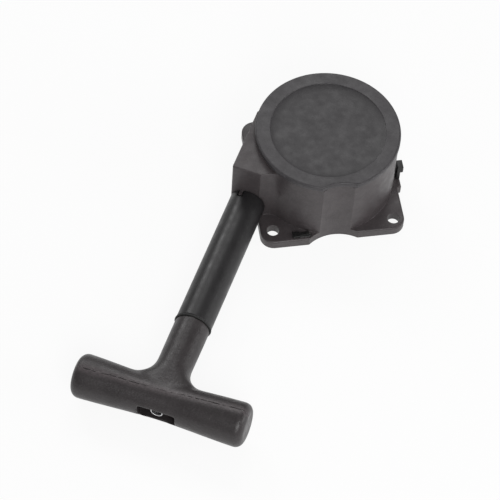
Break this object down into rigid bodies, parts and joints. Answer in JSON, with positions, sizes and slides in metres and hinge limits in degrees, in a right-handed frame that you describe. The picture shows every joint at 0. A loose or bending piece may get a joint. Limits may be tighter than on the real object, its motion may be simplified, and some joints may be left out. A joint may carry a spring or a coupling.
{
  "type": "recoil starter",
  "caption": "Pull starter for a small engine: drum housing with a square flange, side rope outlet, long guide tube and T-handle.",
  "frame": {"origin": "crank axis at the engine's mounting face, the centre of the bolt holes", "axes": "+Z out of the engine towards the round cover; the handle is pulled along -Y"},
  "size_m": [0.1305, 0.2404, 0.048],
  "materials": {
    "housing_plastic": "fine moulded texture",
    "cover_plastic": "fine moulded texture, darker in the dish",
    "tube_plastic": "satin extruded tube",
    "handle_plastic": "fine moulded texture",
    "clip_plastic": "satin",
    "cassette_plastic": "moulded",
    "reel_plastic": "moulded nylon",
    "plain_steel": "bright zinc plate",
    "pawl_steel": "pressed, oiled",
    "spring_steel": "blued strip and wire",
    "insert_brass": "turned",
    "rope_fibre": "braided nylon, with a pale fleck",
    "seal_rubber": "moulded"
  },
  "bodies": {
    "case": {"housing": "housing_plastic", "top_cover": "cover_plastic", "rope_bush": "plain_steel", "guide_tube": "tube_plastic", "seat_ring": "seal_rubber", "post_insert": "insert_brass", "reel_screw": "plain_steel", "reel_washer": "plain_steel", "spring_cassette": "cassette_plastic", "cassette_screws": "plain_steel", "recoil_spring": "spring_steel", "side_clip": "clip_plastic", "front_clip": "clip_plastic"},
    "reel": {"reel": "reel_plastic", "rope_coil": "rope_fibre", "reel_knot": "rope_fibre", "pawl_pins": "plain_steel", "pawl_spring_a": "spring_steel", "pawl_spring_b": "spring_steel"},
    "guide": {"pawl_guide": "plain_steel", "friction_spring": "spring_steel"},
    "pawl_a": {"pawl_a": "pawl_steel"},
    "pawl_b": {"pawl_b": "pawl_steel"},
    "handle": {"handle": "handle_plastic", "handle_ferrule": "plain_steel", "handle_knot": "rope_fibre", "rope_lead": "rope_fibre"}
  },
  "joints": [
    {"name": "handle_pull", "type": "slide", "parent": "case", "child": "handle", "axis": [0, -1, 0], "range_m": [0, 0.85], "stiffness_N_per_m": 19, "springref_m": -0.53, "deforming": ["rope_lead"]},
    {"name": "reel_spin", "type": "hinge", "parent": "case", "child": "reel", "pos_m": [0, 0, 0], "axis": [0, 0, 1], "range_deg": [0, 1625], "deforming": ["recoil_spring"]},
    {"name": "guide_turn", "type": "hinge", "parent": "reel", "child": "guide", "pos_m": [0, 0, 0], "axis": [0, 0, 1], "range_deg": [-25, 0], "stiffness_Nm_per_rad": 0.01, "springref_deg": 17.19},
    {"name": "pawl_a_swing", "type": "hinge", "parent": "reel", "child": "pawl_a", "pos_m": [0.0144, 0, 0], "axis": [0, 0, 1], "range_deg": [-35.2, 0]},
    {"name": "pawl_b_swing", "type": "hinge", "parent": "reel", "child": "pawl_b", "pos_m": [-0.0144, 0, 0], "axis": [0, 0, 1], "range_deg": [-35.2, 0]}
  ],
  "couplings": [
    {"joint": "reel_spin", "follows": "handle_pull", "rad_per_m": 33.35},
    {"joint": "pawl_a_swing", "follows": "guide_turn", "ratio": 1.4},
    {"joint": "pawl_b_swing", "follows": "guide_turn", "ratio": 1.4}
  ]
}
